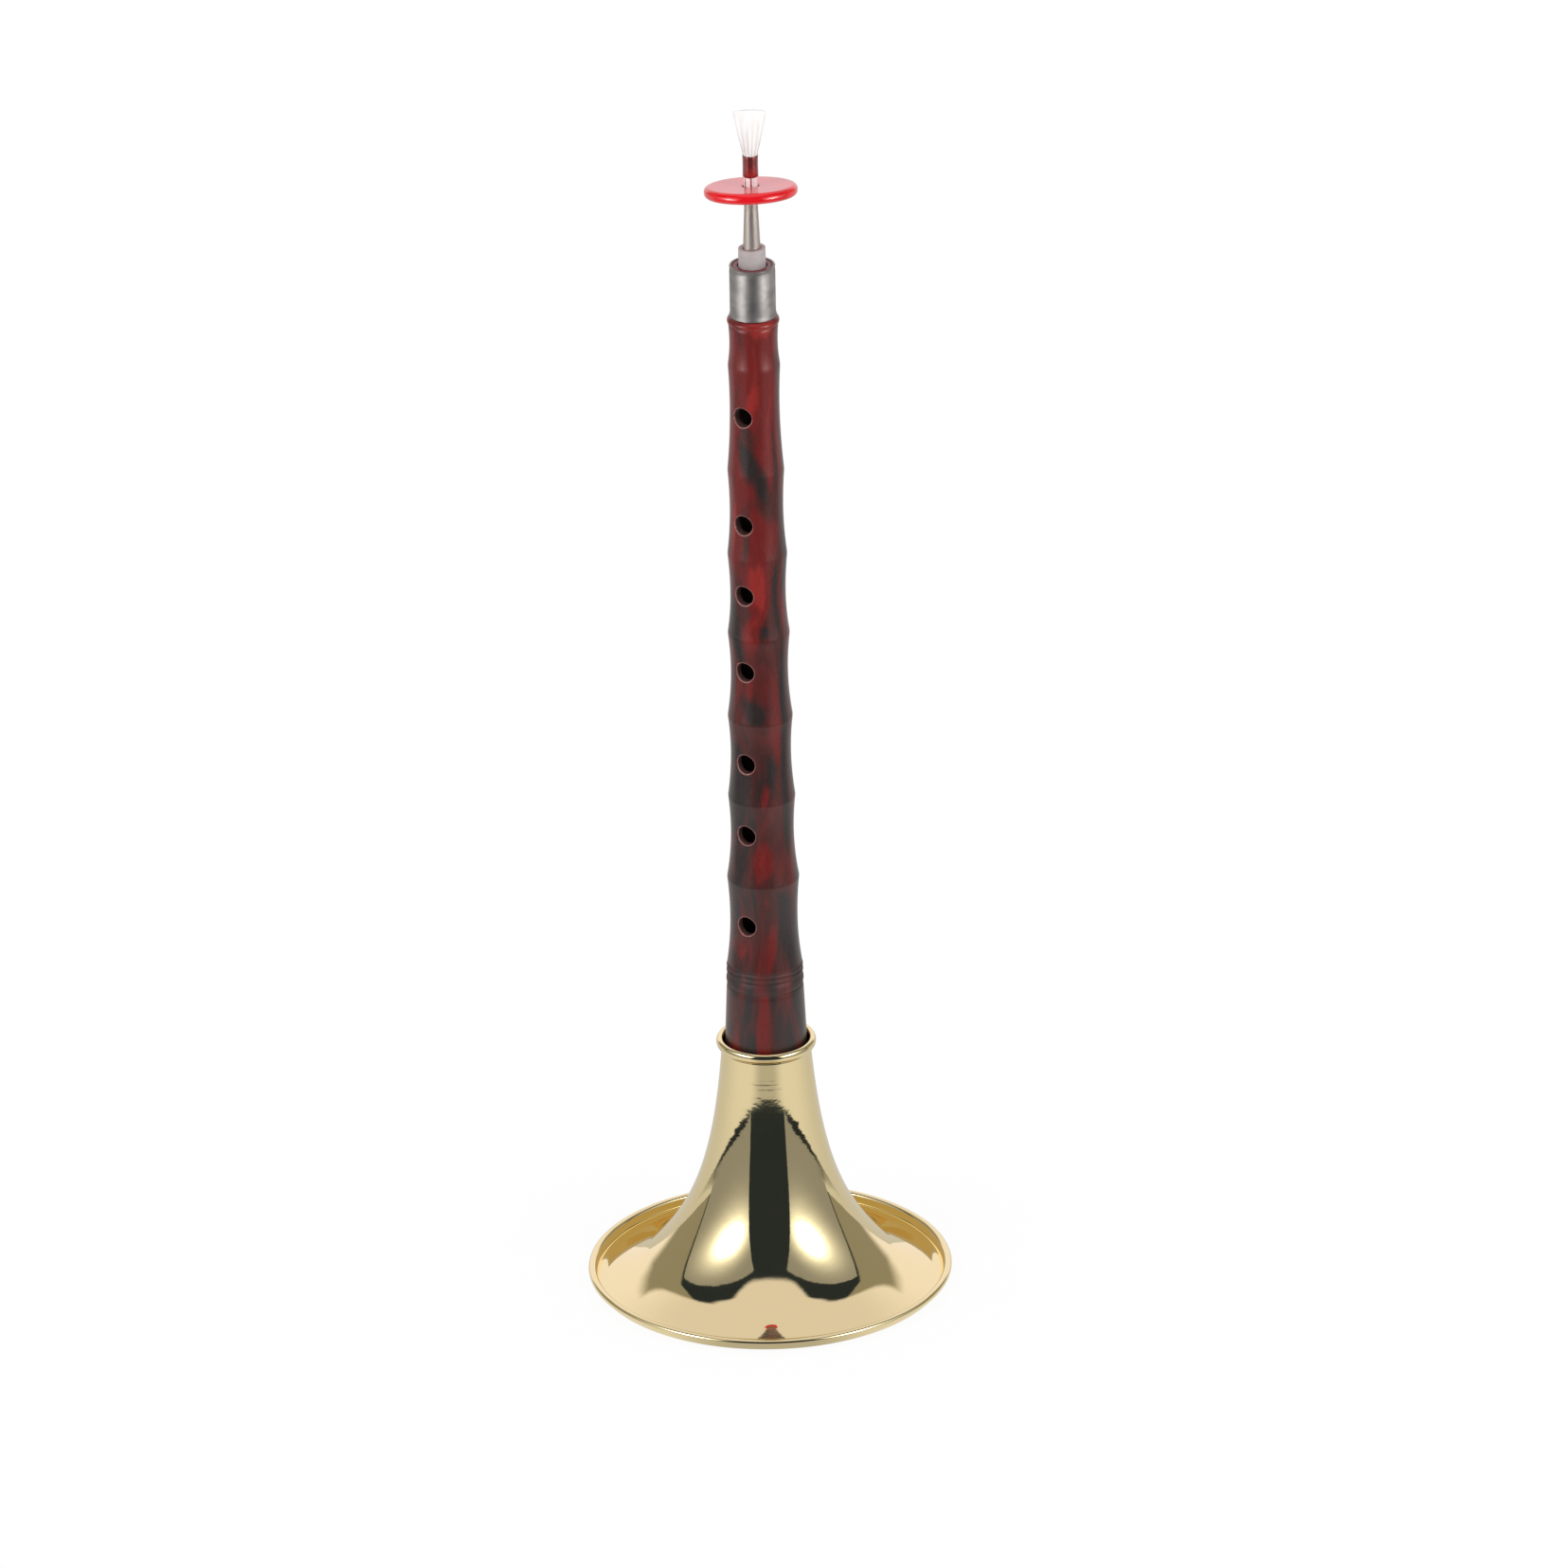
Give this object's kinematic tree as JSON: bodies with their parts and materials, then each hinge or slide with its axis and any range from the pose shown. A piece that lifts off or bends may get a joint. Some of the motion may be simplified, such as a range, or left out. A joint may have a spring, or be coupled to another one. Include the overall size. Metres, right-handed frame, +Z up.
{
  "type": "suona",
  "caption": "Small double-reed horn: conical pipe with bamboo-like nodes and finger holes, loose lip disc, metal staple, and a flared brass bell it stands on.",
  "frame": {"origin": "centre of the bell's mouth, on the surface that the bell stands on", "axes": "+Z up the pipe towards the reed; the finger holes face -Y"},
  "size_m": [0.115, 0.115, 0.395],
  "materials": {
    "bell_brass": "polished pale brass",
    "pipe_resin": "satin mottled red and charcoal resin",
    "ferrule_nickel": "satin nickel plate",
    "staple_nickel": "bright nickel plate",
    "sleeve_silicone": "milky grey silicone",
    "disc_plastic": "glossy red",
    "collar_lacquer": "dark red lacquer",
    "reed_film": "milky translucent"
  },
  "bodies": {
    "pipe": {"pipe": "pipe_resin", "top_ferrule": "ferrule_nickel"},
    "bell": {"bell": "bell_brass"},
    "staple": {"staple": "staple_nickel", "staple_sleeve": "sleeve_silicone"},
    "lip_disc": {"lip_disc": "disc_plastic"},
    "reed": {"reed": "reed_film", "reed_collar": "collar_lacquer"}
  },
  "joints": [
    {"name": "bell_slide", "type": "slide", "parent": "pipe", "child": "bell", "axis": [0, 0, 1], "range_m": [0, 0.27]},
    {"name": "staple_pull", "type": "slide", "parent": "pipe", "child": "staple", "axis": [0, 0, 1], "range_m": [0, 0.02]},
    {"name": "disc_turn", "type": "hinge", "parent": "staple", "child": "lip_disc", "pos_m": [0, 0, 0.36855], "axis": [-0.1134, 0.1361, 0.9842], "continuous": true},
    {"name": "reed_pull", "type": "slide", "parent": "staple", "child": "reed", "axis": [0, 0, 1], "range_m": [0, 0.012]}
  ]
}
